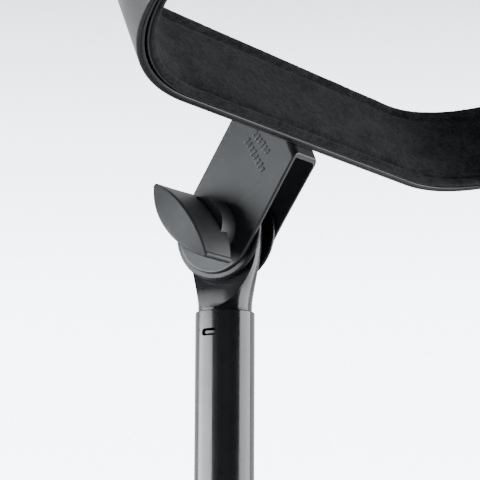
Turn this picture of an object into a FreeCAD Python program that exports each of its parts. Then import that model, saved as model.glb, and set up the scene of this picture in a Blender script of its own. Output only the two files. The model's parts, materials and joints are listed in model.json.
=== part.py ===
"""Floor stand with a tilting, felt-lined U-shaped cradle, in millimetres, +Z up.

Everything is built round the column's axis and then moved by column_offset towards -X, so
that the origin is on the floor at the middle of the whole stand's box.  The tilt bolt's axis
is parallel to Y, and the cradle leans and opens towards +X.
"""
import FreeCAD, Part
import math
import os
import re
import Sketcher
from FreeCAD import Placement, Rotation, Vector

X_AXIS = Vector(1, 0, 0)
Y_AXIS = Vector(0, 1, 0)
Z_AXIS = Vector(0, 0, 1)
ALONG_X = Rotation(Y_AXIS, 90)
ALONG_MINUS_Y = Rotation(X_AXIS, 90)
UPRIGHT = Rotation()
LEG_AZIMUTHS = {"a": 0, "b": 120, "c": 240}

SIZES = (
    ("column_offset", 70.64, "column's axis from the middle of the stand's box, towards -X"),
    ("pivot_height", 720.0, "tilt bolt above the floor at the stored height"),
    ("lean_angle", 32.9, "bracket leaning from the vertical towards +X"),
    ("cradle_angle", 22.0, "cradle opening direction above the horizontal"),
    ("cradle_foot_x", 15.4, "cradle's lower back edge, across the bracket"),
    ("cradle_foot_z", 47.9, "cradle's lower back edge, up the bracket"),
    ("cradle_flat_half", 88.0, "half the straight back of the cradle"),
    ("cradle_bend", 84.0, "outer radius of the cradle's two bends"),
    ("cradle_arm", 70.0, "straight arm after each bend"),
    ("cradle_width", 40.0, "width of the steel band"),
    ("band_thick", 3.2, "steel band, folded double"),
    ("band_fold", 0.35, "width and depth of the fold line in the steel band's edges"),
    ("band_edge", 0.8, "rounded edge of the steel band"),
    ("arm_corner", 14.0, "rounded corner at the arm's end"),
    ("felt_thick", 2.8, "felt lining"),
    ("felt_lift", 2.2, "lining's bend radius over the band's, so that it stands off in the bend"),
    ("felt_inset", 0.6, "felt short of the band's edges"),
    ("glue_gap", 0.1, "glue line behind the felt"),
    ("bracket_width", 17.0, "across the bracket's two legs"),
    ("bracket_sheet", 1.7, "bracket sheet"),
    ("bracket_splay", 1.2, "far leg of the bracket, wider at the web than at the bolt"),
    ("bracket_depth", 95.0, "blank of the bracket, from its web past the bolt"),
    ("bracket_blank", 110.0, "blank of the bracket, along its web"),
    ("bracket_bend", 2.8, "outer bend radius of the bracket"),
    ("bracket_ease", 40.0, "bend radius of the far leg where its splay starts"),
    ("bracket_rim", 0.9, "rounded outer edge of the bracket's legs"),
    ("leg_half_width", 18.5, "half the width of the bracket's leg"),
    ("screw_radius", 2.5, "cradle screw"),
    ("screw_head", 5.0, "countersunk head radius of a cradle screw"),
    ("screw_low", 9.0, "first cradle screw above the lower edge"),
    ("screw_high", 29.0, "second cradle screw above the lower edge"),
    ("screw_length", 11.0, "cradle screw"),
    ("nut_across", 4.6, "circumradius of a cradle nut"),
    ("nut_thick", 4.0, "cradle nut"),
    ("tongue_thick", 4.0, "flattened part of the mast insert"),
    ("tongue_half", 17.2, "half the width of the flattened part"),
    ("insert_radius", 11.4, "round part of the mast insert"),
    ("insert_length", 29.0, "insert held in the mast"),
    ("insert_wall", 1.6, "insert"),
    ("scoop_radius", 31.6, "press scoop on each side of the insert"),
    ("scoop_top", 10.8, "start of the scoop below the pivot"),
    ("disc_radius", 21.1, "friction disc"),
    ("disc_edge", 1.2, "rounded rim of a friction disc"),
    ("disc_gap", 0.15, "friction disc to tongue"),
    ("disc_contact", 8.8, "flat ring of a friction disc that bears on the tongue"),
    ("disc_relief", 2.4, "friction disc's rim clear of the tongue"),
    ("bolt_radius", 4.0, "tilt bolt"),
    ("bolt_fit", 0.08, "running clearance on the tilt bolt"),
    ("bolt_reach", 25.8, "end of the tilt bolt from the mast's axis"),
    ("bolt_head", 7.4, "circumradius of the tilt bolt's head"),
    ("bolt_head_thick", 5.3, "tilt bolt's head"),
    ("washer_radius", 11.0, "washer under the knob"),
    ("washer_thick", 1.5, "washers on the tilt bolt"),
    ("hub_ring", 12.0, "round neck of the wing knob"),
    ("knob_neck", 6.0, "length of the wing knob's neck"),
    ("knob_grip", 17.5, "length of the wing knob's grip"),
    ("wing_half", 21.0, "half the grip's length across"),
    ("wing_outer", 6.2, "half the grip's thickness at its outer end"),
    ("wing_inner", 8.4, "half the grip's thickness at the neck"),
    ("wing_tip", 1.4, "round tips of the grip's outline"),
    ("wing_arch", 3.5, "rise of the grip's arched end"),
    ("wing_scale", 1.0, "wing knob"),
    ("wing_edge", 1.0, "rounded edge of the grip"),
    ("wing_turn", 51.0, "grip turned below the horizontal when tight"),
    ("thread_sleeve", 6.0, "threaded sleeve in the knob, outer radius"),
    ("thread_depth", 15.0, "threaded sleeve's length"),
    ("mast_radius", 12.5, "inner tube of the column"),
    ("mast_wall", 1.0, "inner tube"),
    ("mast_drop", 34.3, "mast's rim below the pivot"),
    ("mast_length", 430.0, "inner tube"),
    ("mast_chamfer", 0.4, "mast's rim"),
    ("crimp_width", 6.8, "crimp slot"),
    ("crimp_height", 3.1, "crimp slot"),
    ("crimp_drop", 9.3, "crimp slot below the mast's rim"),
    ("crimp_groove", 1.0, "insert's two grooves behind the crimp slot"),
    ("slide_fit", 0.08, "running clearance of the sliding parts"),
    ("column_radius", 15.0, "outer tube of the column"),
    ("column_wall", 1.5, "outer tube"),
    ("column_base", 155.0, "outer tube's lower end above the floor"),
    ("column_length", 365.0, "outer tube"),
    ("guide_length", 22.0, "mast guide below the mast"),
    ("spigot_length", 18.0, "mast guide inside the mast"),
    ("bush_length", 40.0, "liner in the outer tube's mouth"),
    ("bush_lip", 3.0, "liner's lip on the outer tube's rim"),
    ("collar_radius", 20.0, "clamp collar"),
    ("collar_below", 30.0, "clamp collar below the outer tube's rim"),
    ("collar_above", 25.0, "clamp collar above the outer tube's rim"),
    ("collar_slit", 3.0, "clamp collar's slit"),
    ("ear_reach", 36.0, "clamp collar's ears from the axis"),
    ("ear_half", 12.0, "half the width over the ears"),
    ("ear_height", 34.0, "clamp collar's ears"),
    ("stud_offset", 28.5, "clamp stud from the axis"),
    ("stud_radius", 3.0, "clamp stud"),
    ("clamp_scale", 0.78, "clamp knob against the wing knob"),
    ("hub_radius", 26.0, "base hub"),
    ("hub_base", 150.0, "base hub above the floor"),
    ("hub_height", 50.0, "base hub"),
    ("lug_half", 11.0, "half the width of a lug"),
    ("lug_reach", 46.0, "lug's end from the axis"),
    ("lug_base", 170.0, "underside of the lugs"),
    ("slot_half", 5.0, "half the width of a lug's slot"),
    ("pin_radius", 3.0, "leg pin"),
    ("pin_offset", 36.0, "leg pin from the axis"),
    ("pin_height", 185.0, "leg pin above the floor"),
    ("leg_slope", 35.2, "open leg below the horizontal"),
    ("leg_radius", 8.0, "leg tube"),
    ("leg_wall", 1.2, "leg tube"),
    ("leg_start", 34.0, "leg tube's inner end from its pin"),
    ("leg_end", 300.0, "leg tube's outer end from its pin"),
    ("tang_half", 4.0, "half the thickness of a leg's tang"),
    ("tang_spigot", 26.0, "tang inside the leg tube"),
    ("foot_radius", 12.5, "rubber foot"),
    ("foot_start", 280.0, "rubber foot's inner end from the leg's pin"),
    ("foot_end", 312.0, "rubber foot's outer end from the leg's pin"),
)
ALIASES = {alias for alias, _, _ in SIZES}


# ---------------------------------------------------------------- sheet and expressions

def make_sheet(doc):
    """Write every driving size to the sheet, with its note beside it."""
    sheet = doc.addObject("Spreadsheet::Sheet", "Sizes")
    for row, (alias, number, note) in enumerate(SIZES, start=1):
        sheet.set(f"A{row}", note)
        sheet.set(f"B{row}", str(number))
        sheet.setAlias(f"B{row}", alias)
    doc.recompute()
    return sheet


def size(alias):
    """One driving size, read from the sheet."""
    return float(SHEET.get(alias))


def bind(item, prop, text):
    """Bind a property to a formula of sheet cells."""
    formula = re.sub(r"[a-z_]+", lambda word: f"Sizes.{word[0]}" if word[0] in ALIASES else word[0], text)
    item.setExpression(prop, formula)


# ---------------------------------------------------------------- primitives

def cylinder(name, radius, height, base=Vector(), turn=UPRIGHT):
    item = DOC.addObject("Part::Cylinder", name)
    bind(item, "Radius", radius)
    bind(item, "Height", height)
    item.Placement = Placement(base, turn)
    return item


def cone(name, low_radius, high_radius, height, base=Vector(), turn=UPRIGHT):
    item = DOC.addObject("Part::Cone", name)
    bind(item, "Radius1", low_radius)
    bind(item, "Radius2", high_radius)
    bind(item, "Height", height)
    item.Placement = Placement(base, turn)
    return item


def box(name, length, width, height, corner, turn=UPRIGHT):
    item = DOC.addObject("Part::Box", name)
    bind(item, "Length", length)
    bind(item, "Width", width)
    bind(item, "Height", height)
    item.Placement = Placement(corner, turn)
    return item


def prism(name, circumradius, height, base=Vector(), turn=UPRIGHT):
    item = DOC.addObject("Part::Prism", name)
    item.Polygon = 6
    bind(item, "Circumradius", circumradius)
    bind(item, "Height", height)
    item.Placement = Placement(base, turn)
    return item


def cut(name, base, *tools):
    """Cut one or more tools from a base."""
    item = DOC.addObject("Part::Cut", name)
    item.Base = base
    item.Tool = tools[0] if len(tools) == 1 else fuse(f"{name}_tools", *tools)
    return item


def fuse(name, *shapes):
    item = DOC.addObject("Part::MultiFuse", name)
    item.Shapes = list(shapes)
    return item


def common(name, first, second):
    item = DOC.addObject("Part::Common", name)
    item.Base = first
    item.Tool = second
    return item


def group(name, *solids):
    """Separate identical solids that share one node."""
    item = DOC.addObject("Part::Compound", name)
    item.Links = list(solids)
    return item


# ---------------------------------------------------------------- sketched bodies

def corner_arc(before, corner, after, radius):
    """Start, middle and end of the arc that rounds one corner of an outline."""
    first = (before - corner).normalize()
    second = (after - corner).normalize()
    half = first.getAngle(second) / 2
    reach = radius / math.tan(half)
    bisector = (first + second).normalize()
    middle = corner + bisector * (radius / math.sin(half) - radius)
    return corner + first * reach, middle, corner + second * reach


def outline(corners):
    """Closed chain of lines and tangent arcs through (x, y) or (x, y, radius) corners."""
    points = [Vector(corner[0], corner[1], 0) for corner in corners]
    radii = [corner[2] if len(corner) > 2 else 0 for corner in corners]
    stops = []
    for index, point in enumerate(points):
        before = points[index - 1]
        after = points[(index + 1) % len(points)]
        rounded = radii[index] > 0
        stops.append(corner_arc(before, point, after, radii[index]) if rounded else (point, None, point))
    chain = []
    for index, (start, middle, end) in enumerate(stops):
        if middle is not None:
            chain.append(Part.Arc(start, middle, end))
        following = stops[(index + 1) % len(stops)][0]
        if end.distanceToPoint(following) > 1e-6:
            chain.append(Part.LineSegment(end, following))
    return chain


def lens(half_length, half_thickness, tip):
    """Closed outline of two shallow arcs that meet in small round tips."""
    reach = half_length - tip
    right_top = Vector(reach, tip, 0)
    left_top = Vector(-reach, tip, 0)
    right_low = Vector(reach, -tip, 0)
    left_low = Vector(-reach, -tip, 0)
    return [
        Part.Arc(right_top, Vector(0, half_thickness, 0), left_top),
        Part.Arc(left_top, Vector(-half_length, 0, 0), left_low),
        Part.Arc(left_low, Vector(0, -half_thickness, 0), right_low),
        Part.Arc(right_low, Vector(half_length, 0, 0), right_top),
    ]


def above_arch(half_length, base, rise):
    """Closed outline of the space over an arch, a little wider than the arch's own span."""
    radius = (half_length ** 2 + rise ** 2) / (2 * rise)
    reach = half_length + 1
    spring = base + rise - radius + math.sqrt(radius ** 2 - reach ** 2)
    left = Vector(-reach, spring, 0)
    right = Vector(reach, spring, 0)
    high_left = Vector(-reach, base + 3 * rise, 0)
    high_right = Vector(reach, base + 3 * rise, 0)
    return [
        Part.Arc(left, Vector(0, base + rise, 0), right),
        Part.LineSegment(right, high_right),
        Part.LineSegment(high_right, high_left),
        Part.LineSegment(high_left, left),
    ]


def join_chain(sketch):
    """Tie each element of a closed outline to the next one."""
    count = len(sketch.Geometry)
    for index in range(count):
        following = (index + 1) % count
        for end in (1, 2):
            for start in (1, 2):
                gap = sketch.getPoint(index, end).distanceToPoint(sketch.getPoint(following, start))
                if gap < 1e-6 and index != following:
                    sketch.addConstraint(Sketcher.Constraint("Coincident", index, end, following, start))


def body(name):
    return DOC.addObject("PartDesign::Body", name)


def empty_sketch(owner, role, name, offset):
    """New sketch on one of the body's own origin planes."""
    sketch = owner.newObject("Sketcher::SketchObject", name)
    plane = next(item for item in owner.Origin.OriginFeatures if item.Role == role)
    sketch.AttachmentSupport = [(plane, "")]
    sketch.MapMode = "FlatFace"
    sketch.AttachmentOffset = Placement(Vector(0, 0, offset), UPRIGHT)
    return sketch


def sketch_on(owner, role, name, chain, offset=0.0):
    """Sketch of one closed outline."""
    sketch = empty_sketch(owner, role, name, offset)
    sketch.addGeometry(chain, False)
    join_chain(sketch)
    return sketch


def circle_on(owner, role, name, radius):
    """Sketch of one circle whose radius is bound to the sheet."""
    sketch = empty_sketch(owner, role, name, 0)
    sketch.addGeometry(Part.Circle(Vector(), Z_AXIS, 1), False)
    number = sketch.addConstraint(Sketcher.Constraint("Radius", 0, 1))
    sketch.renameConstraint(number, "radius")
    bind(sketch, "Constraints.radius", radius)
    return sketch


def pad(owner, name, sketch, length, side="One side"):
    item = owner.newObject("PartDesign::Pad", name)
    item.Profile = sketch
    item.SideType = side
    bind(item, "Length", length)
    return item


def pocket(owner, name, sketch, length, side="One side", reverse=False):
    """Cut a sketch out of the body, and insist that it removed something."""
    DOC.recompute()
    before = owner.Shape.Volume
    item = owner.newObject("PartDesign::Pocket", name)
    item.Profile = sketch
    item.SideType = side
    item.Reversed = reverse
    bind(item, "Length", length)
    DOC.recompute()
    if owner.Shape.Volume > before - 1e-3:
        raise RuntimeError(f"{name} removes nothing")
    return item


def revolve(name, corners):
    """Turned piece: an outline of (radius, height) corners, turned round Z."""
    owner = body(name)
    sketch = sketch_on(owner, "XZ_Plane", f"{name}_profile", outline(corners))
    item = owner.newObject("PartDesign::Revolution", f"{name}_turned")
    item.Profile = sketch
    item.ReferenceAxis = (sketch, ["V_Axis"])
    item.Angle = 360
    return owner


def round_edges(owner, name, radius, keep):
    """Fillet the edges of the body's last feature that the test keeps."""
    DOC.recompute()
    base = owner.Tip
    names = [f"Edge{number}" for number, edge in enumerate(base.Shape.Edges, start=1) if keep(edge)]
    item = owner.newObject("PartDesign::Fillet", name)
    item.Base = (base, names)
    bind(item, "Radius", radius)
    return item


def runs_along(edge, axis):
    """True for a straight edge parallel to an axis."""
    if len(edge.Vertexes) < 2 or not isinstance(edge.Curve, Part.Line):
        return False
    direction = edge.Vertexes[1].Point - edge.Vertexes[0].Point
    return direction.normalize().cross(axis).Length < 1e-6


def lies_at(edge, height):
    """True for an edge that lies wholly at one height."""
    return abs(edge.BoundBox.ZMin - height) < 1e-4 and abs(edge.BoundBox.ZMax - height) < 1e-4


# ---------------------------------------------------------------- poses of the assemblies

def pivot():
    return Vector(0, 0, size("pivot_height"))


def bracket_pose():
    """Bracket frame: Z up its legs, X across them, Y along the tilt bolt."""
    return Placement(pivot(), Rotation(Y_AXIS, size("lean_angle")))


def cradle_pose():
    """Cradle frame: X out of the cradle's mouth, Z up its width, Y along its back."""
    foot = bracket_pose().multVec(Vector(size("cradle_foot_x"), 0, size("cradle_foot_z")))
    return Placement(foot, Rotation(Y_AXIS, -size("cradle_angle")))


def bolt_pose():
    """Bolt frame: Z along the tilt bolt, from the mast's axis towards the knob."""
    return Placement(pivot(), ALONG_MINUS_Y)


def leg_pose():
    """Leg frame of the leg at azimuth 0: X down the leg from its pin."""
    pin = Vector(size("pin_offset"), 0, size("pin_height"))
    return Placement(pin, Rotation(Y_AXIS, size("leg_slope")))


def turned(degrees):
    """A turn about the stand's own axis."""
    return Placement(Vector(), Rotation(Z_AXIS, degrees))


# ---------------------------------------------------------------- cradle

def band_outline(outside, thickness, arm_end, lift=0.0):
    """U outline of a strip that lies a given depth inside the cradle's outer face.
    A lift gives it larger bends, so that it stands off from the band there."""
    half = size("cradle_flat_half") + size("cradle_bend")
    outer = half - outside
    inner = outer - thickness
    outer_bend = size("cradle_bend") - outside + lift
    inner_bend = outer_bend - thickness
    return outline([
        (arm_end, -outer),
        (outside, -outer, outer_bend),
        (outside, outer, outer_bend),
        (arm_end, outer),
        (arm_end, inner),
        (outside + thickness, inner, inner_bend),
        (outside + thickness, -inner, inner_bend),
        (arm_end, -inner),
    ])


def screw_heights():
    return size("screw_low"), size("screw_high")


def make_fold_line(number, low):
    """Groove round one edge of the band, where its two sheets meet."""
    fold = size("band_fold")
    reach = size("cradle_bend") + size("cradle_arm") + 1
    groove = body(f"band_fold_{number}")
    start = (size("band_thick") - fold) / 2
    line = sketch_on(groove, "XY_Plane", f"fold_path_{number}", band_outline(start, fold, reach), low)
    pad(groove, f"fold_pad_{number}", line, "band_fold")
    groove.Placement = cradle_pose()
    return groove


def make_cradle_band():
    reach = size("cradle_bend") + size("cradle_arm")
    width = size("cradle_width")
    strip = body("band_strip")
    profile = sketch_on(strip, "XY_Plane", "band_path", band_outline(0, size("band_thick"), reach))
    pad(strip, "band_pad", profile, "cradle_width")
    round_edges(strip, "band_end_corners", "arm_corner",
                lambda edge: runs_along(edge, Y_AXIS) and edge.CenterOfMass.x > reach - 1)
    round_edges(strip, "band_rounded_rim", "band_edge",
                lambda edge: lies_at(edge, 0) or lies_at(edge, width))
    strip.Placement = cradle_pose()
    tools = [make_fold_line(1, 0), make_fold_line(2, width - size("band_fold"))]
    for number, height in enumerate(screw_heights(), start=1):
        base = cradle_pose().multVec(Vector(-0.01, 0, height))
        turn = cradle_pose().Rotation * ALONG_X
        tools.append(cone(f"screw_sink_{number}", "screw_radius + glue_gap", "screw_head + glue_gap",
                          "band_thick + 0.02", base, turn))
    return cut("cradle_band", strip, *tools)


def make_cradle_felt():
    start = size("band_thick") + size("glue_gap")
    arm_end = size("cradle_bend") + size("cradle_arm") - size("arm_corner") / 2
    path = band_outline(start, size("felt_thick"), arm_end, size("felt_lift"))
    lining = body("cradle_felt")
    profile = sketch_on(lining, "XY_Plane", "felt_path", path, size("felt_inset"))
    pad(lining, "felt_pad", profile, "cradle_width - 2 * felt_inset")
    lining.Placement = cradle_pose()
    return lining


def make_cradle_screws():
    screws = []
    for number, height in enumerate(screw_heights(), start=1):
        head = cone(f"screw_head_{number}", "screw_radius", "screw_head", "band_thick",
                    Vector(0, 0, height), ALONG_X)
        shank = cylinder(f"screw_shank_{number}", "screw_radius", "screw_length",
                         Vector(-size("screw_length") + 0.5, 0, height), ALONG_X)
        screws.append(fuse(f"screw_{number}", head, shank))
    screws = group("cradle_screws", *screws)
    screws.Placement = cradle_pose()
    return screws


def make_cradle_nuts():
    nuts = []
    start = -size("bracket_sheet") - size("nut_thick")
    for number, height in enumerate(screw_heights(), start=1):
        base = Vector(start, 0, height)
        block = prism(f"nut_block_{number}", "nut_across", "nut_thick", base, ALONG_X)
        bore = cylinder(f"nut_bore_{number}", "screw_radius + 0.02", "nut_thick", base, ALONG_X)
        nuts.append(cut(f"nut_{number}", block, bore))
    nuts = group("cradle_nuts", *nuts)
    nuts.Placement = cradle_pose()
    return nuts


# ---------------------------------------------------------------- tilt joint

def make_tilt_bracket():
    """Sheet-steel channel: its web carries the cradle and its legs straddle the tongue."""
    deep = size("bracket_depth")
    half = size("bracket_width") / 2
    sheet = size("bracket_sheet")
    bend = size("bracket_bend")
    far = half + size("bracket_splay")
    straight = size("cradle_foot_z") / 2
    soft = size("bracket_ease")
    channel = body("bracket_channel")
    profile = outline([
        (0, -half, bend), (0, far, bend), (-straight, half, soft), (-deep, half),
        (-deep, half - sheet), (-straight, half - sheet, soft), (-sheet, far - sheet, bend - sheet),
        (-sheet, sheet - half, bend - sheet), (-deep, sheet - half), (-deep, -half),
    ])
    section = sketch_on(channel, "XY_Plane", "channel_section", profile)
    pad(channel, "channel_pad", section, "bracket_blank", "Symmetric")
    channel.Placement = cradle_pose()

    leg = size("leg_half_width")
    blank = body("bracket_outline")
    shape = outline([(-leg, -leg, leg - 0.01), (leg, -leg, leg - 0.01), (leg, deep), (-leg, deep)])
    flat = sketch_on(blank, "XY_Plane", "blank_outline", shape)
    pad(blank, "blank_pad", flat, "bracket_width * 2", "Symmetric")
    blank.Placement = bracket_pose() * Placement(Vector(), ALONG_MINUS_Y)
    trimmed = common("bracket_trimmed", channel, blank)

    DOC.recompute()
    rim = size("bracket_rim")
    rounded = DOC.addObject("Part::Fillet", "bracket_rounded")
    rounded.Base = trimmed
    rounded.Edges = [(number, rim, rim) for number, edge in enumerate(trimmed.Shape.Edges, start=1)
                     if edge.BoundBox.YMax < 1e-4 - half]

    holes = [cylinder("bracket_bolt_hole", "bolt_radius + bolt_fit", "bracket_width * 2",
                      pivot() + Vector(0, size("bracket_width"), 0), ALONG_MINUS_Y)]
    for number, height in enumerate(screw_heights(), start=1):
        base = cradle_pose().multVec(Vector(-2 * sheet, 0, height))
        holes.append(cylinder(f"bracket_screw_hole_{number}", "screw_radius + glue_gap",
                              "bracket_sheet * 3", base, cradle_pose().Rotation * ALONG_X))
    return cut("tilt_bracket", rounded, *holes)


def make_friction_disc(name, side):
    """Plastic disc between the tongue and one leg of the bracket, dished on the tongue's side."""
    near = size("tongue_thick") / 2 + size("disc_gap")
    far = size("bracket_width") / 2 - size("bracket_sheet")
    bore = size("bolt_radius") + size("bolt_fit")
    radius = size("disc_radius")
    edge = size("disc_edge")
    disc = revolve(name, [
        (bore, near), (size("disc_contact"), near), (radius, near + size("disc_relief"), edge / 2),
        (radius, far - edge / 4, edge), (radius - 2 * edge, far), (bore, far),
    ])
    disc.Placement = Placement(pivot(), Rotation(X_AXIS, 90 * side))
    return disc


def make_tilt_bolt():
    half = size("bracket_width") / 2
    back = -half - size("washer_thick")
    head = prism("bolt_head_block", "bolt_head", "bolt_head_thick",
                 Vector(0, 0, back - size("bolt_head_thick")))
    dome = cone("bolt_head_bevel", "bolt_head - 1.4", "bolt_head + 6", "bolt_head_thick + 2",
                Vector(0, 0, back - size("bolt_head_thick")))
    bevelled = common("bolt_head_bevelled", head, dome)
    shank = cylinder("bolt_shank", "bolt_radius", "bolt_reach + bracket_width / 2 + washer_thick",
                     Vector(0, 0, back))
    bolt = fuse("tilt_bolt", bevelled, shank)
    bolt.Placement = bolt_pose()
    return bolt


def make_washer(name, radius, base):
    """Plain washer on the tilt bolt, with rounded rims."""
    bore = size("bolt_radius") + size("bolt_fit")
    thick = size("washer_thick")
    edge = thick / 4
    washer = revolve(name, [(bore, 0), (radius, 0, edge), (radius, thick, edge), (bore, thick)])
    washer.Placement = bolt_pose() * Placement(Vector(0, 0, base), UPRIGHT)
    return washer


def make_knob(name, scale, bore):
    """Wing knob: a round neck that runs out into a lens-shaped grip. The scale is a size's name."""
    factor = size(scale)
    neck = size("knob_neck") * factor
    top = neck + size("knob_grip") * factor
    arch = size("wing_arch") * factor
    half = size("wing_half") * factor
    tip = size("wing_tip") * factor
    knob = body(name)
    ring = circle_on(knob, "XY_Plane", f"{name}_ring", f"hub_ring * {scale}")
    pad(knob, f"{name}_neck", ring, f"(knob_neck + 4) * {scale}")
    root = lens(half, size("wing_inner") * factor, tip)
    end = lens(half, size("wing_outer") * factor, tip)
    inner = sketch_on(knob, "XY_Plane", f"{name}_grip_root", root, neck)
    outer = sketch_on(knob, "XY_Plane", f"{name}_grip_end", end, top + arch + 1)
    DOC.recompute()
    grip = knob.newObject("PartDesign::AdditiveLoft", f"{name}_grip")
    grip.Profile = inner
    grip.Sections = [outer]
    crown = sketch_on(knob, "XZ_Plane", f"{name}_crown", above_arch(half, top, arch))
    pocket(knob, f"{name}_crown_cut", crown, "wing_half * 2", "Symmetric")
    round_edges(knob, f"{name}_end_edge", f"wing_edge * {scale}",
                lambda edge: edge.BoundBox.ZMin > top - 1)
    hole = circle_on(knob, "XY_Plane", f"{name}_socket", bore)
    pocket(knob, f"{name}_socket_cut", hole, f"(thread_depth + 1) * {scale}", reverse=True)
    return knob


def make_wing_knob():
    start = size("bracket_width") / 2 + 2 * size("disc_gap") + size("washer_thick")
    knob = make_knob("wing_knob", "wing_scale", "thread_sleeve + 0.05")
    turn = Placement(Vector(0, 0, start), Rotation(Z_AXIS, -size("wing_turn")))
    knob.Placement = bolt_pose() * turn
    sleeve = revolve("knob_thread", [
        (size("bolt_radius") + size("bolt_fit") / 2, 0.4), (size("thread_sleeve"), 0.4),
        (size("thread_sleeve"), size("thread_depth")),
        (size("bolt_radius") + size("bolt_fit") / 2, size("thread_depth")),
    ])
    sleeve.Placement = bolt_pose() * Placement(Vector(0, 0, start), UPRIGHT)
    return [knob, sleeve]


def flare_section(name, half_width, drop):
    """Cross-section of the mast insert at one depth below the pivot."""
    item = DOC.addObject("Part::Ellipse", name)
    item.MajorRadius = half_width
    bind(item, "MinorRadius", "insert_radius")
    item.Placement = Placement(Vector(0, 0, -drop), UPRIGHT)
    return item


def make_scoop(name, side):
    """Space that one press die takes from the insert: flat above, a round scoop below."""
    flat = size("tongue_thick") / 2
    radius = size("scoop_radius")
    centre = Vector(flat + radius, -size("scoop_top"), 0)
    top_inner = Vector(flat, 40, 0)
    top_outer = Vector(flat + radius, 40, 0)
    side_point = Vector(flat, centre.y, 0)
    low_point = Vector(centre.x, centre.y - radius, 0)
    diagonal = Vector(-1, -1, 0).normalize() * radius
    chain = [
        Part.LineSegment(top_inner, side_point),
        Part.Arc(side_point, centre + diagonal, low_point),
        Part.LineSegment(low_point, top_outer),
        Part.LineSegment(top_outer, top_inner),
    ]
    die = body(name)
    pad(die, f"{name}_pad", sketch_on(die, "YZ_Plane", f"{name}_section", chain),
        "tongue_half * 3", "Symmetric")
    die.Placement = turned(90 - 90 * side)
    return die


def make_tongue_insert():
    """Tube whose upper end is pressed flat: round below, a flat tongue round the bolt above."""
    drop = size("mast_drop")
    wide = size("tongue_half")
    round_half = size("insert_radius")
    growth = ((drop, 0.001), (drop - 7, 0.10), (drop - 15, 0.52), (drop - 25, 0.96), (-22, 1.0))
    rings = []
    for number, (depth, share) in enumerate(growth, start=1):
        half_width = round_half + (wide - round_half) * share
        rings.append(flare_section(f"insert_ring_{number}", half_width, depth))
    flare = DOC.addObject("Part::Loft", "insert_flare")
    flare.Sections = rings
    flare.Solid = True
    stem = cylinder("insert_stem", "insert_radius + 0.04", "insert_length",
                    Vector(0, 0, -drop - size("insert_length")))
    solid = fuse("insert_solid", stem, flare)
    tools = [
        make_scoop("insert_scoop_far", 1),
        make_scoop("insert_scoop_near", -1),
        cylinder("insert_bolt_hole", "bolt_radius + bolt_fit", "tongue_half * 2", Vector(0, wide, 0),
                 ALONG_MINUS_Y),
        cylinder("insert_bore", "insert_radius - insert_wall", "insert_length - 2",
                 Vector(0, 0, -drop - size("insert_length"))),
    ]
    groove = size("crimp_groove")
    slot_low = -drop - size("crimp_drop") - size("crimp_height") / 2
    for number, low in enumerate((slot_low, slot_low + size("crimp_height") - groove), start=1):
        corner = Vector(-size("crimp_width") / 2, -1.5 * size("insert_radius"), low)
        tools.append(box(f"insert_groove_{number}", "crimp_width", "insert_radius * 3", "crimp_groove",
                         corner))
    pressed = cut("insert_pressed", solid, *tools)

    reach = wide + 1
    rounding = body("insert_front")
    shape = outline([(-reach, -80), (reach, -80), (reach, wide, wide - 0.5), (-reach, wide, wide - 0.5)])
    front = sketch_on(rounding, "XY_Plane", "insert_front_outline", shape)
    pad(rounding, "insert_front_pad", front, "insert_radius * 3", "Symmetric")
    rounding.Placement = Placement(Vector(), ALONG_MINUS_Y)
    insert = common("tongue_insert", pressed, rounding)
    insert.Placement = Placement(pivot(), UPRIGHT)
    return insert


# ---------------------------------------------------------------- column

def mast_top():
    return size("pivot_height") - size("mast_drop")


def make_mast_tube():
    tube = body("mast_tube")
    pad(tube, "mast_pad", circle_on(tube, "XY_Plane", "mast_outside", "mast_radius"), "mast_length")
    bore = circle_on(tube, "XY_Plane", "mast_inside", "mast_radius - mast_wall")
    pocket(tube, "mast_bore", bore, "mast_length", reverse=True)
    half = size("crimp_width") / 2
    middle = size("mast_length") - size("crimp_drop")
    reach = size("crimp_height") / 2
    corner = reach - 0.1
    slot = outline([(-half, middle - reach, corner), (half, middle - reach, corner),
                    (half, middle + reach, corner), (-half, middle + reach, corner)])
    crimp = sketch_on(tube, "XZ_Plane", "crimp_slot", slot)
    pocket(tube, "mast_crimps", crimp, "mast_radius * 3", "Symmetric")
    round_edges(tube, "mast_rim", "mast_chamfer", lambda edge: lies_at(edge, size("mast_length")))
    tube.Placement = Placement(Vector(0, 0, mast_top() - size("mast_length")), UPRIGHT)
    return tube


def make_mast_guide():
    """Plug under the mast: it centres the mast in the outer tube, and the mast turns on it."""
    spigot = size("mast_radius") - size("mast_wall") - size("slide_fit")
    skirt = size("column_radius") - size("column_wall") - size("slide_fit")
    bore = spigot - 3
    guide = revolve("mast_guide", [
        (bore, -size("guide_length")), (skirt, -size("guide_length"), 1), (skirt, -0.3),
        (spigot, -0.3), (spigot, size("spigot_length"), 1), (bore, size("spigot_length")),
    ])
    guide.Placement = Placement(Vector(0, 0, mast_top() - size("mast_length")), UPRIGHT)
    return guide


def column_top():
    return size("column_base") + size("column_length")


def make_outer_tube():
    base = Vector(0, 0, size("column_base"))
    outside = cylinder("column_outside", "column_radius", "column_length", base)
    inside = cylinder("column_inside", "column_radius - column_wall", "column_length", base)
    return cut("outer_tube", outside, inside)


def make_collar_bush():
    """Plastic liner in the outer tube's mouth, with a lip on the rim."""
    outer = size("column_radius") - size("column_wall") - 0.05
    inner = size("mast_radius") + size("slide_fit")
    bush = revolve("collar_bush", [
        (inner, -size("bush_length")), (outer, -size("bush_length")), (outer, 0.05),
        (size("column_radius"), 0.05), (size("column_radius"), size("bush_lip")), (inner, size("bush_lip")),
    ])
    bush.Placement = Placement(Vector(0, 0, column_top()), UPRIGHT)
    return bush


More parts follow.
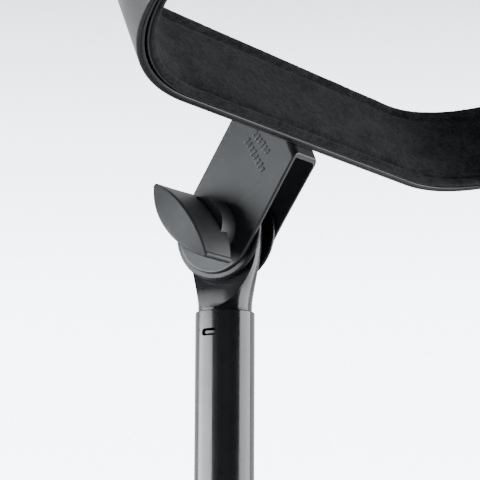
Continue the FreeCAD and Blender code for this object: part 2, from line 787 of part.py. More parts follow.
def make_clamp_collar():
    """Split collar on the outer tube: its upper bore grips the mast when the knob is tight."""
    low = column_top() - size("collar_below")
    ear_base = column_top() + size("collar_above") - size("ear_height")
    ring = cylinder("collar_ring", "collar_radius", "collar_below + collar_above", Vector(0, 0, low))
    ears = box("collar_ears", "ear_reach", "ear_half * 2", "ear_height",
               Vector(-size("ear_reach"), -size("ear_half"), ear_base))
    solid = fuse("collar_solid", ring, ears)
    tools = [
        cylinder("collar_seat", "column_radius + 0.1", "collar_below + bush_lip + 0.1",
                 Vector(0, 0, low)),
        cylinder("collar_grip", "mast_radius + slide_fit", "collar_below + collar_above",
                 Vector(0, 0, low)),
        box("collar_slot", "ear_reach + 4", "collar_slit", "collar_below + collar_above",
            Vector(-size("ear_reach") - 4, -size("collar_slit") / 2, low)),
        cylinder("collar_stud_hole", "stud_radius + slide_fit", "ear_half * 4",
                 clamp_centre() + Vector(0, 2 * size("ear_half"), 0), ALONG_MINUS_Y),
    ]
    rough = cut("collar_cut", solid, *tools)
    rounded = DOC.addObject("Part::Fillet", "clamp_collar")
    DOC.recompute()
    far = -size("ear_reach") + 0.5
    picked = [(number, 2.5, 2.5) for number, edge in enumerate(rough.Shape.Edges, start=1)
              if edge.CenterOfMass.x < far and runs_along(edge, Y_AXIS)]
    rounded.Base = rough
    rounded.Edges = picked
    return rounded


def clamp_centre():
    """Middle of the clamp stud, between the collar's ears."""
    return Vector(-size("stud_offset"), 0, column_top() + size("collar_above") - size("ear_height") / 2)


def make_clamp_screw():
    """Knob and stud that close the collar, and the nut on its far ear."""
    frame = Placement(clamp_centre(), ALONG_MINUS_Y)
    start = size("ear_half") + 0.3
    knob = make_knob("clamp_knob", "clamp_scale", "stud_radius + 0.02")
    knob.Placement = frame * Placement(Vector(0, 0, start), Rotation(Z_AXIS, 90))
    stud = cylinder("clamp_stud", "stud_radius",
                    "ear_half * 2 + nut_thick * 1.5 + thread_depth * clamp_scale")
    stud.Placement = frame * Placement(Vector(0, 0, -size("ear_half") - 1.5 * size("nut_thick")), UPRIGHT)
    block = prism("clamp_nut_block", "nut_across * 1.25", "nut_thick * 1.25")
    bore = cylinder("clamp_nut_bore", "stud_radius + slide_fit", "nut_thick * 1.25")
    nut = cut("clamp_nut", block, bore)
    nut.Placement = frame * Placement(Vector(0, 0, -size("ear_half") - 1.25 * size("nut_thick")), UPRIGHT)
    return [knob, stud, nut]


# ---------------------------------------------------------------- base

def make_base_hub():
    """Cast hub: a socket for the outer tube and a slotted lug for each leg."""
    base = Vector(0, 0, size("hub_base"))
    drum = cylinder("hub_drum", "hub_radius", "hub_height", base)
    crown = cone("hub_crown", "hub_radius", "column_radius + 3", "9",
                 base + Vector(0, 0, size("hub_height")))
    solids = [drum, crown]
    tools = [cylinder("hub_socket", "column_radius + 0.05", "hub_height + 20",
                      Vector(0, 0, size("column_base"))),
             cylinder("hub_cap_seat", "column_radius", "20", base - Vector(0, 0, 10))]
    for letter, azimuth in LEG_AZIMUTHS.items():
        spin = turned(azimuth)
        lug = box(f"hub_lug_{letter}", "lug_reach", "lug_half * 2", "hub_base + hub_height - lug_base",
                  Vector(0, -size("lug_half"), size("lug_base")))
        lug.Placement = spin * lug.Placement
        solids.append(lug)
        slot = fuse(f"hub_slot_{letter}", *slot_tools(letter))
        slot.Placement = spin
        tools.append(slot)
    tools.append(cylinder("hub_screw_hole", "pin_radius", "hub_radius", Vector(0, 0, hub_screw_height()),
                          hub_screw_turn()))
    return cut("base_hub", fuse("hub_solid", *solids), *tools)


def slot_tools(letter):
    """Space for one tang: its open pose, its swing downwards, and its pin."""
    half = size("slot_half")
    pose = leg_pose()
    above = size("leg_radius") + 0.3
    open_room = box(f"slot_open_{letter}", "leg_end", "slot_half * 2", "lug_base", Vector())
    open_room.Placement = pose * Placement(Vector(0, -half, above - size("lug_base")), UPRIGHT)
    round_room = cylinder(f"slot_round_{letter}", "leg_radius + 0.6", "slot_half * 2",
                          Vector(size("pin_offset"), half, size("pin_height")), ALONG_MINUS_Y)
    inner = size("pin_offset") - size("leg_radius") - 0.6
    fold_room = box(f"slot_fold_{letter}", "leg_end", "slot_half * 2", "pin_height",
                    Vector(inner, -half, 0))
    pin_room = cylinder(f"slot_pin_{letter}", "pin_radius + 0.02", "lug_half * 4",
                        Vector(size("pin_offset"), 2 * size("lug_half"), size("pin_height")), ALONG_MINUS_Y)
    beyond = box(f"slot_limit_{letter}", "leg_end", "slot_half * 2", "hub_height * 3",
                 Vector(inner, -half, size("hub_base") - 20))
    rooms = fuse(f"slot_rooms_{letter}", open_room, round_room, fold_room)
    return common(f"slot_clear_{letter}", rooms, beyond), pin_room


def hub_screw_height():
    return size("hub_base") + size("hub_height") - 14


def hub_screw_turn():
    return Rotation(Z_AXIS, 60) * ALONG_X


def make_hub_screw():
    """Set screw that holds the outer tube in the hub."""
    start = size("column_radius") + 0.1
    shank = cylinder("hub_screw_shank", "pin_radius - 0.02", "hub_radius - column_radius + 0.4",
                     Vector(0, 0, start))
    head = cylinder("hub_screw_head", "pin_radius + 2", "pin_radius + 1",
                    Vector(0, 0, size("hub_radius") + 0.1))
    key = prism("hub_screw_key", "pin_radius - 0.4", "pin_radius", Vector(0, 0, size("hub_radius") + 2))
    screw = cut("hub_screw", fuse("hub_screw_solid", shank, head), key)
    screw.Placement = Placement(Vector(0, 0, hub_screw_height()), hub_screw_turn())
    return screw


def make_hub_cap():
    """Plastic cap that closes the hub from below."""
    plug = size("column_radius") - 0.1
    rim = size("hub_radius")
    cap = revolve("hub_cap", [(0, -4), (rim, -4, 2), (rim, -0.05), (plug, -0.05), (plug, 4), (0, 4)])
    cap.Placement = Placement(Vector(0, 0, size("hub_base")), UPRIGHT)
    return cap


def around_pins(name, make_one):
    """One solid of a kind at each leg pin, kept in one node."""
    pin = Vector(size("pin_offset"), 0, size("pin_height"))
    solids = []
    for letter, azimuth in LEG_AZIMUTHS.items():
        for item in make_one(letter):
            item.Placement = turned(azimuth) * Placement(pin, ALONG_MINUS_Y) * item.Placement
            solids.append(item)
    return group(name, *solids)


def one_pin(letter):
    """Leg pin with a flat head at each end."""
    half = size("lug_half")
    shank = cylinder(f"pin_shank_{letter}", "pin_radius", "lug_half * 2 + 1", Vector(0, 0, -half - 0.5))
    heads = [cylinder(f"pin_head_{letter}_{number}", "pin_radius + 1.6", "1.4", Vector(0, 0, height))
             for number, height in enumerate((-half - 1.5, half + 0.1), start=1)]
    return [fuse(f"pin_{letter}", shank, *heads)]


def spacer_pair(letter):
    """Thin nylon washers on both sides of a tang."""
    spacers = []
    gap = size("slot_half") - size("tang_half")
    for number, base in enumerate((size("tang_half") + 0.1, -size("slot_half") + 0.1), start=1):
        ring = cylinder(f"spacer_ring_{letter}{number}", "pin_radius * 2.2", "slot_half - tang_half - 0.2",
                        Vector(0, 0, base))
        hole = cylinder(f"spacer_hole_{letter}{number}", "pin_radius + 0.1", "slot_half",
                        Vector(0, 0, base - gap))
        spacers.append(cut(f"spacer_{letter}{number}", ring, hole))
    return spacers


def make_leg(letter, azimuth):
    """Tang, tube and rubber foot of one leg, each in the leg's own frame."""
    pose = turned(azimuth) * leg_pose()
    tang = make_tang(letter)
    length = "leg_end - leg_start"
    start = Vector(size("leg_start"), 0, 0)
    tube = cut(f"leg_tube_{letter}",
               cylinder(f"tube_outside_{letter}", "leg_radius", length, start, ALONG_X),
               cylinder(f"tube_inside_{letter}", "leg_radius - leg_wall", length, start, ALONG_X))
    foot = make_foot(letter)
    for piece in (tang, tube, foot):
        piece.Placement = pose
    return [tang, tube, foot]


def make_tang(letter):
    radius = size("leg_radius")
    plate = body(f"tang_plate_{letter}")
    end = size("leg_start")
    round_end = radius - 0.01
    shape = outline([(-radius, -radius, round_end), (end, -radius), (end, radius),
                     (-radius, radius, round_end)])
    sketch = sketch_on(plate, "XY_Plane", f"tang_outline_{letter}", shape)
    pad(plate, f"tang_pad_{letter}", sketch, "tang_half * 2", "Symmetric")
    plate.Placement = Placement(Vector(), ALONG_MINUS_Y)
    shoulder = cylinder(f"tang_shoulder_{letter}", "leg_radius", "leg_start * 0.35",
                        Vector(end * 0.65 - 0.05, 0, 0), ALONG_X)
    spigot = cylinder(f"tang_spigot_{letter}", "leg_radius - leg_wall - 0.1", "tang_spigot",
                      Vector(end - 0.1, 0, 0), ALONG_X)
    hole = cylinder(f"tang_hole_{letter}", "pin_radius + bolt_fit * 0.75", "leg_radius * 3",
                    Vector(0, 1.5 * radius, 0), ALONG_MINUS_Y)
    return cut(f"leg_tang_{letter}", fuse(f"tang_solid_{letter}", plate, shoulder, spigot), hole)


def make_foot(letter):
    """Rubber boot on the leg's end, with a flat sole on the floor."""
    start = Vector(size("foot_start"), 0, 0)
    boot = cylinder(f"foot_boot_{letter}", "foot_radius", "foot_end - foot_start - 6",
                    start + Vector(6, 0, 0), ALONG_X)
    taper = cone(f"foot_taper_{letter}", "leg_radius + 1.2", "foot_radius", "6", start, ALONG_X)
    bore = cylinder(f"foot_bore_{letter}", "leg_radius + 0.05", "leg_end - foot_start + 0.1", start,
                    ALONG_X)
    below = box(f"foot_floor_{letter}", "leg_end * 3", "leg_end * 3", "leg_end", Vector())
    corner = Vector(-1.5 * size("leg_end"), -1.5 * size("leg_end"), -size("leg_end"))
    below.Placement = leg_pose().inverse() * Placement(corner, UPRIGHT)
    return cut(f"leg_foot_{letter}", fuse(f"foot_solid_{letter}", boot, taper), bore, below)


# ---------------------------------------------------------------- document

def make_parts():
    """Every sub-part of the stand, each a separate object with its own label."""
    disc_start = size("bracket_width") / 2
    parts = [
        make_cradle_band(), make_cradle_felt(), make_cradle_screws(), make_cradle_nuts(),
        make_tilt_bracket(),
        make_friction_disc("friction_disc_near", 1), make_friction_disc("friction_disc_far", -1),
        make_tilt_bolt(),
        make_washer("knob_washer", size("washer_radius"), disc_start + size("disc_gap")),
        make_washer("bolt_washer", size("washer_radius") - 2, -disc_start - size("washer_thick")),
        *make_wing_knob(),
        make_tongue_insert(), make_mast_tube(), make_mast_guide(),
        make_outer_tube(), make_collar_bush(), make_clamp_collar(), *make_clamp_screw(),
        make_base_hub(), make_hub_cap(), make_hub_screw(),
        around_pins("leg_pins", one_pin), around_pins("leg_spacers", spacer_pair),
    ]
    for letter, azimuth in LEG_AZIMUTHS.items():
        parts.extend(make_leg(letter, azimuth))
    for part in parts:
        part.Placement = Placement(Vector(-size("column_offset"), 0, 0), UPRIGHT) * part.Placement
    return parts


def check(parts):
    """Stop on any failed object or any empty or invalid shape."""
    for item in DOC.Objects:
        if "Invalid" in item.State or "Error" in item.State:
            raise RuntimeError(f"{item.Label} failed: {item.State}")
    for part in parts:
        if part.Shape.isNull() or not part.Shape.isValid():
            raise RuntimeError(f"{part.Label} has no valid shape")


def export(parts):
    os.makedirs("parts", exist_ok=True)
    for part in parts:
        part.Label = part.Name
        part.Shape.exportStep(f"parts/{part.Label}.step")
        limits = part.Shape.BoundBox
        print(f"{part.Label:20s} solids {len(part.Shape.Solids)} volume {part.Shape.Volume:11.1f} "
              f"x {limits.XMin:8.1f} {limits.XMax:8.1f} y {limits.YMin:8.1f} {limits.YMax:8.1f} "
              f"z {limits.ZMin:8.1f} {limits.ZMax:8.1f}")


DOC = FreeCAD.newDocument("felt_cradle_stand")
SHEET = make_sheet(DOC)
PARTS = make_parts()
DOC.recompute()
check(PARTS)
export(PARTS)
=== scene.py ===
import json
import math
import bmesh
import bpy
from mathutils import Matrix, Vector, noise


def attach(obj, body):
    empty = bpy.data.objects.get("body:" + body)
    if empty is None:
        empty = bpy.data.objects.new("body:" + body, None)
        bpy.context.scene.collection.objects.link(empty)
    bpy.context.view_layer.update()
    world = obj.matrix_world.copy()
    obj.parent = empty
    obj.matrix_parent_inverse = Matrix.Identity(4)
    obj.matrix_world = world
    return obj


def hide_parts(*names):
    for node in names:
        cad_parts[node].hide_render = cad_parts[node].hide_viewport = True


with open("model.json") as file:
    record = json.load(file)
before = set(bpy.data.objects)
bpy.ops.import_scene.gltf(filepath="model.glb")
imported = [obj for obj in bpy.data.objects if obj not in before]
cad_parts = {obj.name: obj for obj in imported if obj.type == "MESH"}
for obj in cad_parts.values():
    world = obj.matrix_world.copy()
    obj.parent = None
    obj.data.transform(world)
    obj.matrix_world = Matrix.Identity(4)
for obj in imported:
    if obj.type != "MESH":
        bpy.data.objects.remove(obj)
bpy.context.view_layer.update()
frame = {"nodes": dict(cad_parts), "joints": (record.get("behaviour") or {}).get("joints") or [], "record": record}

# The tilt bolt's centre comes from the frame. The head's own angles and sizes are the CAD's,
# in radians and metres.
PIVOT = Vector(next(joint["pos_m"] for joint in frame["joints"] if joint["name"] == "cradle_tilt"))
LEAN = math.radians(32.9)
CRADLE_RISE = math.radians(22.0)
FOOT_ACROSS = 0.0154
FOOT_UP = 0.0479
BACK_HALF = 0.088
BEND_RADIUS = 0.084
ARM_END = 0.147
LINING_BACK = 0.0033
LINING_THICK = 0.0028
LINING_LIFT = 0.0022
LINING_LOW = 0.0006
LINING_HIGH = 0.0394
LINING_MIDDLE = (LINING_LOW + LINING_HIGH) / 2
LEG_FACE = 0.0085

# The lining's backing strip, where its open face starts, and the spacing of the face's rows.
BACKING_THICK = 0.0008
FACE_START = 0.0070
FACE_STEP = 0.0008

# The pile's grain is longer along the cradle's back. Each relief is a (frequency, height) pair of
# noise: three sizes over the whole pile, and more in the crease and along the hem.
PILE_STRETCH = (1.0, 0.45, 1.0)
PILE_RELIEF = ((140.0, 0.00010), (500.0, 0.00008), (1100.0, 0.00008))
CREASE_RELIEF = (230.0, 0.00022)
CREASE_DRIFT = (180.0, 0.00022)
CREASE_OFFSET = Vector((3.0, 1.0, 7.0))
HEM_RELIEF = (500.0, 0.00010)

# The raised bars on the bracket: every third one is taller.
BAR_TALL = 0.0032
BAR_SHORT = 0.0026
BAR_WIDTH = 0.0011
BAR_RISE = 0.00035

# Pieces that are glossier than the rest of their material slot.
OWN_COATS = {"tongue_insert": "insert_coat"}

# The camera looks slightly up at the tilt joint from the knob's side.
VIEW_AZIMUTH = math.radians(33.46)
VIEW_ELEVATION = math.radians(-10.73)
VIEW_ROLL = math.radians(0.25)
VIEW_DISTANCE = 0.829
VIEW_LENS = 147.0
VIEW_RIGHT = 0.0061
VIEW_UP = -0.0030

# The studio's floor, its backdrop as it is seen and as it lights the stand, and its softboxes.
FLOOR_HALF = 6.0
BACKDROP_SEEN = 9.5
BACKDROP_LIGHT = 1.6
SOFTBOX_COLOUR = (0.93, 0.97, 1.0)


# ---------------------------------------------------------------- node helpers

def new_material(name):
    """Empty node material with a Principled shader."""
    made = bpy.data.materials.new(name)
    made.use_nodes = True
    tree = made.node_tree
    shader = tree.nodes["Principled BSDF"]
    return made, tree, shader


def add_node(tree, kind, **settings):
    """Add one node; settings name its inputs or its properties."""
    node = tree.nodes.new(kind)
    for key, value in settings.items():
        if key in node.inputs:
            node.inputs[key].default_value = value
        else:
            setattr(node, key, value)
    return node


def object_noise(tree, scale, detail=3.0, roughness=0.5, stretch=(1.0, 1.0, 1.0)):
    """Noise in object space, so that it doesn't depend on UVs."""
    place = add_node(tree, "ShaderNodeTexCoord")
    mapping = add_node(tree, "ShaderNodeMapping")
    mapping.inputs["Scale"].default_value = stretch
    tree.links.new(place.outputs["Object"], mapping.inputs["Vector"])
    made = add_node(tree, "ShaderNodeTexNoise", Scale=scale, Detail=detail, Roughness=roughness)
    tree.links.new(mapping.outputs["Vector"], made.inputs["Vector"])
    return made.outputs["Fac"]


def ramp(tree, source, stops):
    """Colour ramp over a 0..1 value; stops are (place, colour)."""
    node = add_node(tree, "ShaderNodeValToRGB")
    elements = node.color_ramp.elements
    while len(elements) < len(stops):
        elements.new(0.5)
    for element, (place, colour) in zip(elements, stops):
        element.position = place
        element.color = (*colour, 1.0)
    tree.links.new(source, node.inputs["Fac"])
    return node.outputs["Color"]


def grey(value):
    """Neutral colour."""
    return (value, value, value)


def bump(tree, shader, height, strength, distance):
    """Relief from a height value; the distance is in metres."""
    node = add_node(tree, "ShaderNodeBump", Strength=strength, Distance=distance)
    tree.links.new(height, node.inputs["Height"])
    tree.links.new(node.outputs["Normal"], shader.inputs["Normal"])


def uneven_gloss(tree, shader, source, low, high):
    """Roughness that drifts between two values."""
    polish = ramp(tree, source, [(0.3, grey(low)), (0.7, grey(high))])
    tree.links.new(polish, shader.inputs["Roughness"])


def edge_wear(tree, base, worn, amount):
    """Mix a paler colour in where the surface turns sharply outwards."""
    geometry = add_node(tree, "ShaderNodeNewGeometry")
    mask = ramp(tree, geometry.outputs["Pointiness"], [(0.53, grey(0.0)), (0.62, grey(amount))])
    mix = add_node(tree, "ShaderNodeMix", data_type="RGBA")
    tree.links.new(mask, mix.inputs[0])
    tree.links.new(base, mix.inputs[6])
    mix.inputs[7].default_value = (*worn, 1.0)
    return mix.outputs[2]


# ---------------------------------------------------------------- materials

def powder_coat(name, dark, light, roughness, grain, depth, gloss=0.5, coat=0.0):
    """Paint with a fine orange-peel surface, a little colour drift and worn edges."""
    made, tree, shader = new_material(name)
    drift = ramp(tree, object_noise(tree, 22.0, 4.0), [(0.35, dark), (0.7, light)])
    worn = [min(1.0, channel * 2.2 + 0.02) for channel in light]
    tree.links.new(edge_wear(tree, drift, worn, 0.6), shader.inputs["Base Color"])
    uneven_gloss(tree, shader, object_noise(tree, 60.0, 3.0), roughness - 0.05, roughness + 0.05)
    shader.inputs["Specular IOR Level"].default_value = gloss
    shader.inputs["Coat Weight"].default_value = coat
    shader.inputs["Coat Roughness"].default_value = 0.12
    bump(tree, shader, object_noise(tree, grain, 2.0), 0.35, depth)
    return made


def moulded_plastic(name, dark, light, roughness, grain, gloss=0.5):
    """Fine spark-eroded grain."""
    made, tree, shader = new_material(name)
    shader.inputs["Specular IOR Level"].default_value = gloss
    colour = ramp(tree, object_noise(tree, 35.0, 4.0), [(0.3, dark), (0.75, light)])
    tree.links.new(colour, shader.inputs["Base Color"])
    uneven_gloss(tree, shader, object_noise(tree, 90.0, 2.0), roughness - 0.06, roughness + 0.06)
    bump(tree, shader, object_noise(tree, grain, 2.0, 0.7), 0.5, 0.00012)
    return made


def plated_steel(name, tone, roughness, stretch):
    """Plated metal with drawn streaks."""
    made, tree, shader = new_material(name)
    shader.inputs["Metallic"].default_value = 1.0
    streaks = object_noise(tree, 400.0, 3.0, 0.6, stretch)
    darker = tuple(channel * 0.75 for channel in tone)
    tree.links.new(ramp(tree, streaks, [(0.3, darker), (0.7, tone)]), shader.inputs["Base Color"])
    uneven_gloss(tree, shader, streaks, roughness - 0.06, roughness + 0.08)
    bump(tree, shader, streaks, 0.2, 0.00005)
    return made


def felt_cloth(name):
    """Short matted pile: mottled, with a soft sheen."""
    made, tree, shader = new_material(name)
    tufts = object_noise(tree, 640.0, 4.0, 0.7, PILE_STRETCH)
    clouds = object_noise(tree, 150.0, 3.0, 0.5, PILE_STRETCH)
    blend = add_node(tree, "ShaderNodeMath", operation="MULTIPLY_ADD")
    tree.links.new(tufts, blend.inputs[0])
    blend.inputs[1].default_value = 0.65
    scaled = add_node(tree, "ShaderNodeMath", operation="MULTIPLY")
    tree.links.new(clouds, scaled.inputs[0])
    scaled.inputs[1].default_value = 0.35
    tree.links.new(scaled.outputs[0], blend.inputs[2])
    shade = ramp(tree, blend.outputs[0], [(0.40, (0.0026, 0.0027, 0.0030)),
                                          (0.60, (0.0160, 0.0166, 0.0182))])
    tree.links.new(shade, shader.inputs["Base Color"])
    shader.inputs["Roughness"].default_value = 0.95
    shader.inputs["Specular IOR Level"].default_value = 0.15
    shader.inputs["Sheen Weight"].default_value = 0.05
    shader.inputs["Sheen Roughness"].default_value = 0.45
    bump(tree, shader, tufts, 0.8, 0.0006)
    return made


def rubber(name):
    """Matt moulded rubber."""
    made, tree, shader = new_material(name)
    colour = ramp(tree, object_noise(tree, 45.0, 4.0), [(0.3, grey(0.016)), (0.75, grey(0.034))])
    tree.links.new(colour, shader.inputs["Base Color"])
    shader.inputs["Roughness"].default_value = 0.75
    bump(tree, shader, object_noise(tree, 900.0, 3.0), 0.5, 0.0002)
    return made


def make_materials():
    """One material for each slot of the record, with the insert's coat and the lining's backing."""
    deep_black = (0.006, 0.0063, 0.007)
    worn_black = (0.009, 0.0094, 0.0105)
    return {
        "black_steel": powder_coat("black_steel_coat", (0.007, 0.0073, 0.008),
                                   (0.011, 0.0113, 0.0125), 0.32, 1400.0, 0.0001, gloss=0.28),
        "grey_steel": powder_coat("grey_steel_coat", deep_black, worn_black, 0.36, 1500.0, 0.0001),
        "insert_coat": powder_coat("insert_coat", deep_black, worn_black, 0.22, 1500.0, 0.00004),
        "black_tube": powder_coat("tube_coat", deep_black, (0.009, 0.0093, 0.010),
                                  0.20, 700.0, 0.00003, gloss=0.55, coat=0.12),
        "knob_plastic": moulded_plastic("knob_plastic", (0.011, 0.0115, 0.0125),
                                        (0.019, 0.0195, 0.021), 0.50, 2200.0),
        "black_plastic": moulded_plastic("black_plastic", (0.005, 0.005, 0.006),
                                         (0.009, 0.009, 0.011), 0.26, 1500.0, gloss=0.25),
        "cast_hub": powder_coat("hub_coat", (0.012, 0.012, 0.0135), (0.020, 0.020, 0.022),
                                0.45, 800.0, 0.0003),
        "zinc_screws": plated_steel("dark_zinc", (0.36, 0.36, 0.38), 0.34, (1.0, 8.0, 1.0)),
        "brass_thread": plated_steel("turned_brass", (0.62, 0.46, 0.20), 0.28, (1.0, 9.0, 1.0)),
        "nylon_spacers": moulded_plastic("nylon", (0.45, 0.45, 0.43),
                                         (0.55, 0.55, 0.53), 0.45, 1200.0),
        "rubber_feet": rubber("foot_rubber"),
        "black_felt": felt_cloth("black_felt_pile"),
        "lining_back": powder_coat("lining_backing", (0.007, 0.007, 0.008), (0.010, 0.010, 0.011),
                                   0.40, 900.0, 0.00005, gloss=0.25),
    }


def paint_frame(materials):
    """Give every carried-over CAD node the material of its slot, or its own coat."""
    slots = {row["node"]: row["material_slot"] for row in frame["record"]["subparts"]}
    for name, item in frame["nodes"].items():
        item.data.materials.clear()
        item.data.materials.append(materials[OWN_COATS.get(name, slots[name])])


# ---------------------------------------------------------------- pieces

def tilted(across, up, angle):
    """Frame turned about the bolt's direction, set off from the bolt in the bracket's frame."""
    lean = Matrix.Rotation(LEAN, 4, "Y")
    foot = PIVOT + (lean @ Vector((across, 0.0, up)))
    return Matrix.Translation(foot) @ Matrix.Rotation(angle, 4, "Y")


CRADLE = tilted(FOOT_ACROSS, FOOT_UP, -CRADLE_RISE)
BRACKET = tilted(0.0, 0.0, LEAN)


def add_object(name, mesh, body, slot_name, *materials):
    """Link a mesh as a piece that rides on a body and takes the given materials; its slot name is not used."""
    item = bpy.data.objects.new(name, mesh)
    bpy.context.scene.collection.objects.link(item)
    for paint in materials:
        mesh.materials.append(paint)
    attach(item, body)
    return item


def lining_path(step):
    """Points along the lining's back in the cradle's XY plane, each with its inward normal."""
    radius = BEND_RADIUS - LINING_BACK + LINING_LIFT
    side = BACK_HALF + BEND_RADIUS - LINING_BACK
    bend_x = LINING_BACK + radius
    bend_y = side - radius
    points = []
    count = int((ARM_END - bend_x) / step)
    for index in range(count):
        share = index / count
        place = Vector((ARM_END + (bend_x - ARM_END) * share, -side, 0.0))
        points.append((place, Vector((0.0, 1.0, 0.0))))
    count = int(radius * math.pi / 2 / step)
    for index in range(count):
        angle = math.pi / 2 * index / count
        normal = Vector((math.sin(angle), math.cos(angle), 0.0))
        points.append((Vector((bend_x, -bend_y, 0.0)) - normal * radius, normal))
    count = int(bend_y / step)
    for index in range(count):
        place = Vector((LINING_BACK, -bend_y * (1 - index / count), 0.0))
        points.append((place, Vector((1.0, 0.0, 0.0))))
    middle = (Vector((LINING_BACK, 0.0, 0.0)), Vector((1.0, 0.0, 0.0)))
    mirrored = []
    for place, normal in reversed(points):
        mirrored.append((Vector((place.x, -place.y, 0.0)), Vector((normal.x, -normal.y, 0.0))))
    return points + [middle] + mirrored


def lining_section():
    """Half cross-section, from the back's low corner to mid-face, as (depth, height, kind)."""
    low = LINING_LOW
    section = [
        (0.0, low + 0.0004, "back"),
        (0.00008, low + 0.00005, "back"),
        (BACKING_THICK - 0.0001, low, "back"),
        (BACKING_THICK, low + 0.0003, "hem"),
        (BACKING_THICK + 0.00015, low + 0.0001, "hem"),
    ]
    hem = ((0.00130, -0.00012), (0.00180, -0.00022), (0.00235, -0.00020), (0.00290, -0.00002),
           (0.00335, 0.00030), (0.00368, 0.00080), (0.00380, 0.00140), (0.00365, 0.00200))
    crease = ((0.00310, 0.00250), (0.00235, 0.00285), (0.00175, 0.00315), (0.00160, 0.00365),
              (0.00180, 0.00425), (0.00230, 0.00490), (0.00265, 0.00560))
    section += [(depth, low + height, "hem") for depth, height in hem]
    section += [(depth, low + height, "crease") for depth, height in crease]
    height = FACE_START
    while height < LINING_MIDDLE - FACE_STEP / 2:
        section.append((LINING_THICK, height, "face"))
        height += FACE_STEP
    return section


def ripple(spot, relief):
    """Noise at a place, from a (frequency, height) pair."""
    frequency, height = relief
    return noise.noise(spot * frequency) * height


def make_lining():
    """Felt lining: a backing strip, a rolled hem, the crease where it is pressed down, and pile."""
    half = lining_section()
    section = half + [(depth, 2 * LINING_MIDDLE - height, kind)
                      for depth, height, kind in reversed(half)]
    path = lining_path(0.0009)
    made = bmesh.new()
    rows = []
    along = 0.0
    before = path[0][0]
    for place, normal in path:
        row = []
        along += (place - before).length
        before = place
        for depth, height, kind in section:
            grain = Vector((along * PILE_STRETCH[1], height, depth))
            spot = place + normal * depth
            spot.z = height
            if kind != "back":
                soft = 0.0
                for relief in PILE_RELIEF:
                    soft += ripple(grain, relief)
                if kind == "crease":
                    soft += ripple(spot, CREASE_RELIEF)
                    drift = noise.noise(spot * CREASE_DRIFT[0] + CREASE_OFFSET)
                    spot.z += drift * CREASE_DRIFT[1]
                spot += normal * soft
                if kind == "hem":
                    outward = -1.0 if height < LINING_MIDDLE else 1.0
                    spot.z += outward * ripple(spot, HEM_RELIEF)
            row.append(made.verts.new(CRADLE @ spot))
        rows.append(row)
    count = len(section)
    kinds = [kind for _, _, kind in section]
    for first, second in zip(rows, rows[1:]):
        for index in range(count):
            after = (index + 1) % count
            face = made.faces.new((first[index], second[index], second[after], first[after]))
            face.smooth = True
            backed = kinds[index] == "back" and kinds[after] == "back"
            face.material_index = 1 if backed else 0
    made.faces.new(rows[0])
    made.faces.new(list(reversed(rows[-1])))
    bmesh.ops.recalc_face_normals(made, faces=made.faces)
    mesh = bpy.data.meshes.new("felt_lining")
    made.to_mesh(mesh)
    made.free()
    item = add_object("felt_lining", mesh, "head", "black_felt",
                      MATERIALS["black_felt"], MATERIALS["lining_back"])
    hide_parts("cradle_felt")


def raised_bar(made, centre, along, across, length, width, height):
    """Small bar with chamfered top that stands on the bracket's near face."""
    outward = Vector((0.0, -1.0, 0.0))
    rings = []
    for rise, inset in ((-0.0001, 0.0), (height * 0.6, 0.02), (height, 0.22)):
        ring = []
        for sign_along, sign_across in ((-1, -1), (1, -1), (1, 1), (-1, 1)):
            spot = centre + outward * rise
            spot += along * sign_along * (length / 2 - inset * width)
            spot += across * sign_across * (width / 2 - inset * width)
            ring.append(made.verts.new(BRACKET @ spot))
        rings.append(ring)
    for low, high in zip(rings, rings[1:]):
        for index in range(4):
            after = (index + 1) % 4
            made.faces.new((low[index], low[after], high[after], high[index]))
    made.faces.new(rings[-1])


def make_marks():
    """Two short rows of plain raised bars on the bracket's near leg."""
    made = bmesh.new()
    rows = (
        (Vector((-0.0049, -LEG_FACE, 0.0441)), Vector((0.0067, -LEG_FACE, 0.0393)), 6),
        (Vector((-0.0068, -LEG_FACE, 0.0399)), Vector((0.0085, -LEG_FACE, 0.0317)), 8),
    )
    for start, end, count in rows:
        run = (end - start).normalized()
        side = run.cross(Vector((0.0, 1.0, 0.0))).normalized()
        for index in range(count):
            centre = start.lerp(end, (index + 0.5) / count)
            tall = BAR_SHORT if index % 3 else BAR_TALL
            raised_bar(made, centre, side, run, tall, BAR_WIDTH, BAR_RISE)
    bmesh.ops.recalc_face_normals(made, faces=made.faces)
    mesh = bpy.data.meshes.new("bracket_marks")
    made.to_mesh(mesh)
    made.free()
    add_object("bracket_marks", mesh, "head", "grey_steel", MATERIALS["grey_steel"])


# ---------------------------------------------------------------- studio

def make_stage():
    """Plain pale floor under the feet."""
    mesh = bpy.data.meshes.new("studio_floor")
    made = bmesh.new()
    bmesh.ops.create_grid(made, x_segments=1, y_segments=1, size=FLOOR_HALF)
    made.to_mesh(mesh)
    made.free()
    floor = bpy.data.objects.new("studio_floor", mesh)
    bpy.context.scene.collection.objects.link(floor)
    paint, tree, shader = new_material("studio_floor_paint")
    shader.inputs["Base Color"].default_value = (0.80, 0.81, 0.83, 1.0)
    shader.inputs["Roughness"].default_value = 0.7
    mesh.materials.append(paint)


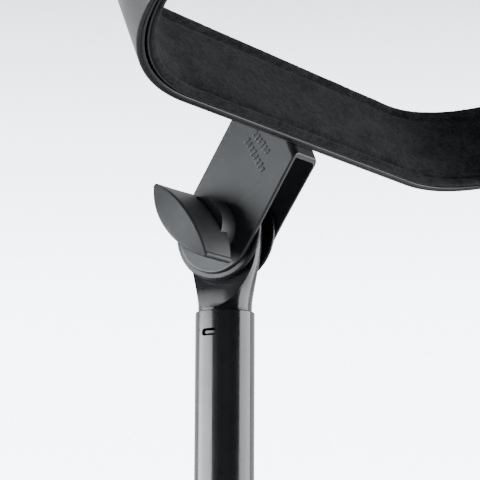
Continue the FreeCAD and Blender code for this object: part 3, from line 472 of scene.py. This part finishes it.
def make_world():
    """Pale backdrop; as a light it is bright behind the stand and dark on the side that is seen."""
    world = bpy.data.worlds.new("studio")
    bpy.context.scene.world = world
    world.use_nodes = True
    tree = world.node_tree
    tree.nodes.clear()
    place = add_node(tree, "ShaderNodeTexCoord")
    split = add_node(tree, "ShaderNodeSeparateXYZ")
    tree.links.new(place.outputs["Generated"], split.inputs[0])
    sky = ramp(tree, split.outputs["Z"], [(0.0, (0.82, 0.91, 1.0)), (0.16, (0.65, 0.71, 0.77)),
                                          (0.33, (0.185, 0.200, 0.217))])
    seen = add_node(tree, "ShaderNodeBackground", Strength=BACKDROP_SEEN)
    tree.links.new(sky, seen.inputs["Color"])

    away = add_node(tree, "ShaderNodeVectorMath", operation="DOT_PRODUCT")
    tree.links.new(place.outputs["Generated"], away.inputs[0])
    away.inputs[1].default_value = (-math.sin(VIEW_AZIMUTH), math.cos(VIEW_AZIMUTH), 0.0)
    shade = ramp(tree, away.outputs["Value"], [(0.0, grey(0.015)), (0.55, grey(0.85))])
    light = add_node(tree, "ShaderNodeBackground", Strength=BACKDROP_LIGHT)
    tree.links.new(shade, light.inputs["Color"])

    path = add_node(tree, "ShaderNodeLightPath")
    mix = add_node(tree, "ShaderNodeMixShader")
    out = add_node(tree, "ShaderNodeOutputWorld")
    tree.links.new(path.outputs["Is Camera Ray"], mix.inputs[0])
    tree.links.new(light.outputs[0], mix.inputs[1])
    tree.links.new(seen.outputs[0], mix.inputs[2])
    tree.links.new(mix.outputs[0], out.inputs["Surface"])


def softbox(name, turn, rise, distance, width, height, radiance):
    """Soft area light, turned from the viewed side of the bolt; a positive turn is to the right."""
    data = bpy.data.lights.new(name, "AREA")
    data.shape = "RECTANGLE"
    data.size = width
    data.size_y = height
    data.energy = radiance * math.pi * width * height
    data.color = SOFTBOX_COLOUR
    light = bpy.data.objects.new(name, data)
    azimuth = VIEW_AZIMUTH + math.radians(turn)
    level = math.cos(math.radians(rise))
    place = Vector((math.sin(azimuth) * level, -math.cos(azimuth) * level,
                    math.sin(math.radians(rise))))
    light.location = PIVOT + place * distance
    light.rotation_euler = place.to_track_quat("Z", "Y").to_euler()
    bpy.context.scene.collection.objects.link(light)


def make_lights():
    """Two tall softboxes beside the stand and a small one above it."""
    softbox("left_softbox", -84.0, -12.0, 2.4, 3.2, 1.8, 13.0)
    softbox("right_softbox", 88.0, -8.0, 2.4, 2.6, 2.0, 8.0)
    softbox("top_softbox", -112.0, 56.0, 1.6, 0.9, 0.4, 2.6)


def make_camera():
    """Long lens that looks slightly up at the tilt joint."""
    data = bpy.data.cameras.new("photo_view")
    data.lens = VIEW_LENS
    data.sensor_width = 36.0
    data.clip_start = 0.01
    camera = bpy.data.objects.new("photo_view", data)
    level = math.cos(VIEW_ELEVATION)
    back = Vector((math.sin(VIEW_AZIMUTH) * level, -math.cos(VIEW_AZIMUTH) * level,
                   math.sin(VIEW_ELEVATION)))
    right = Vector((math.cos(VIEW_AZIMUTH), math.sin(VIEW_AZIMUTH), 0.0))
    up = back.cross(right)
    turned_right = right * math.cos(VIEW_ROLL) + up * math.sin(VIEW_ROLL)
    turned_up = up * math.cos(VIEW_ROLL) - right * math.sin(VIEW_ROLL)
    place = PIVOT + turned_right * VIEW_RIGHT + turned_up * VIEW_UP + back * VIEW_DISTANCE
    camera.matrix_world = Matrix((
        (turned_right.x, turned_up.x, back.x, place.x),
        (turned_right.y, turned_up.y, back.y, place.y),
        (turned_right.z, turned_up.z, back.z, place.z),
        (0.0, 0.0, 0.0, 1.0),
    ))
    bpy.context.scene.collection.objects.link(camera)
    bpy.context.scene.camera = camera


make_camera()
MATERIALS = make_materials()
paint_frame(MATERIALS)
make_lining()
make_marks()
make_stage()
make_world()
make_lights()
